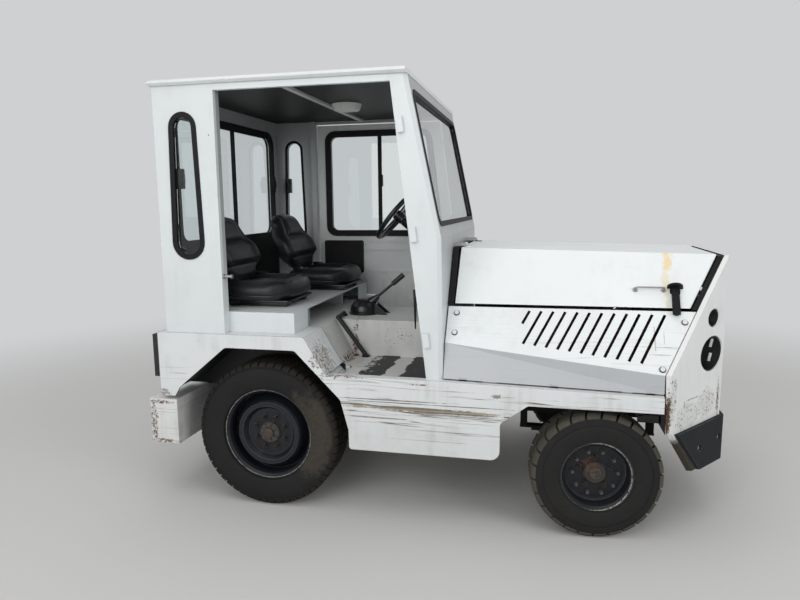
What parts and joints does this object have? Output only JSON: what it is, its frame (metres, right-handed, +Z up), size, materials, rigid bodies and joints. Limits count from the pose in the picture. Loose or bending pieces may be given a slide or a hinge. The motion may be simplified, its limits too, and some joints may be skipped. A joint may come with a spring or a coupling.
{
  "type": "airport baggage tug",
  "caption": "Small towing tractor with a boxy steel cab, wedge hood with slotted sides, swept nose, wide rear wheel housings, steered front wheels and a rear hitch.",
  "frame": {"origin": "on the ground under the middle of the whole machine", "axes": "+X forward, +Y to the tug's left, +Z up"},
  "size_m": [3.006, 1.5357, 2.162],
  "materials": {
    "white": "worn satin",
    "lamp_white": "satin",
    "frame_black": "worn satin",
    "steel": "rough",
    "tyre": "matte",
    "rubber": "matte",
    "glass": "clear",
    "vinyl": "satin",
    "plastic": "matte",
    "lamp_red": "gloss",
    "lamp_glass": "clear"
  },
  "bodies": {
    "body": {"fender_left": "white", "fender_right": "white", "rear_bumper": "white", "cab_floor": "white", "seat_deck": "white", "rear_wall": "white", "quarter_panel_left": "white", "quarter_panel_right": "white", "pillar_left": "white", "pillar_right": "white", "front_wall": "white", "roof": "white", "hinge_blocks": "white", "side_panel_left": "white", "side_panel_right": "white", "nose_plate": "white", "dome_lamp": "lamp_white", "chassis": "frame_black", "rear_axle": "frame_black", "front_axle": "frame_black", "front_springs": "frame_black", "grab_rail": "frame_black", "pedals": "frame_black", "steering_column": "frame_black", "engine_block": "steel", "radiator": "steel", "tow_hitch": "steel", "window_rubbers": "rubber", "hood_seal": "rubber", "bumper_pad": "rubber", "lever_console": "rubber", "windscreen": "glass", "rear_window": "glass", "quarter_windows": "glass", "seat_left": "vinyl", "seat_right": "vinyl", "ceiling": "plastic", "rear_trim": "plastic", "rear_lamps": "lamp_red", "front_lamps": "lamp_glass"},
    "rear_wheel_left": {"rim_rear_left": "frame_black", "tyre_rear_left": "tyre"},
    "rear_wheel_right": {"rim_rear_right": "frame_black", "tyre_rear_right": "tyre"},
    "knuckle_left": {"knuckle_left": "frame_black"},
    "knuckle_right": {"knuckle_right": "frame_black"},
    "tie_rod": {"tie_rod": "steel"},
    "front_wheel_left": {"rim_front_left": "frame_black", "tyre_front_left": "tyre"},
    "front_wheel_right": {"rim_front_right": "frame_black", "tyre_front_right": "tyre"},
    "steering_wheel": {"steering_wheel": "plastic"},
    "hood_lid": {"hood_lid": "white", "hood_catches": "rubber"},
    "door_left": {"door_left": "white", "door_window": "glass", "door_rubber": "rubber", "door_pocket": "plastic"}
  },
  "joints": [
    {"name": "wheel_rear_left", "type": "hinge", "parent": "body", "child": "rear_wheel_left", "pos_m": [-0.748, 0.62, 0.38], "axis": [0, 1, 0], "continuous": true},
    {"name": "wheel_rear_right", "type": "hinge", "parent": "body", "child": "rear_wheel_right", "pos_m": [-0.748, -0.62, 0.38], "axis": [0, 1, 0], "continuous": true},
    {"name": "steering_wheel", "type": "hinge", "parent": "body", "child": "steering_wheel", "pos_m": [-0.293, 0.34, 1.48], "axis": [-0.766, 0, 0.6428], "range_deg": [-655, 463]},
    {"name": "steer_left", "type": "hinge", "parent": "body", "child": "knuckle_left", "pos_m": [0.857, 0.47, 0.3], "axis": [0, 0, 1], "range_deg": [-41, 29]},
    {"name": "steer_right", "type": "hinge", "parent": "body", "child": "knuckle_right", "pos_m": [0.857, -0.47, 0.3], "axis": [0, 0, 1], "range_deg": [-41, 29]},
    {"name": "tie_rod_pivot", "type": "hinge", "parent": "knuckle_right", "child": "tie_rod", "pos_m": [0.73766, -0.48254, 0.25], "axis": [0, 0, 1], "range_deg": [-29, 41]},
    {"name": "wheel_front_left", "type": "hinge", "parent": "knuckle_left", "child": "front_wheel_left", "pos_m": [0.83818, 0.64901, 0.3], "axis": [-0.1045, 0.9945, 0], "continuous": true},
    {"name": "wheel_front_right", "type": "hinge", "parent": "knuckle_right", "child": "front_wheel_right", "pos_m": [0.87582, -0.64901, 0.3], "axis": [-0.1045, 0.9945, 0], "continuous": true},
    {"name": "hood_hinge", "type": "hinge", "parent": "body", "child": "hood_lid", "pos_m": [0.215, 0, 1.335], "axis": [0, -1, 0], "range_deg": [0, 60]},
    {"name": "door_hinge", "type": "hinge", "parent": "body", "child": "door_left", "pos_m": [0.03168, 0.741, 1.4], "axis": [0.1173, 0, -0.9931], "range_deg": [0, 95]}
  ],
  "couplings": [
    {"joint": "steer_left", "follows": "steering_wheel", "ratio": 0.0625},
    {"joint": "steer_right", "follows": "steering_wheel", "ratio": 0.0625},
    {"joint": "tie_rod_pivot", "follows": "steering_wheel", "ratio": -0.0625}
  ]
}
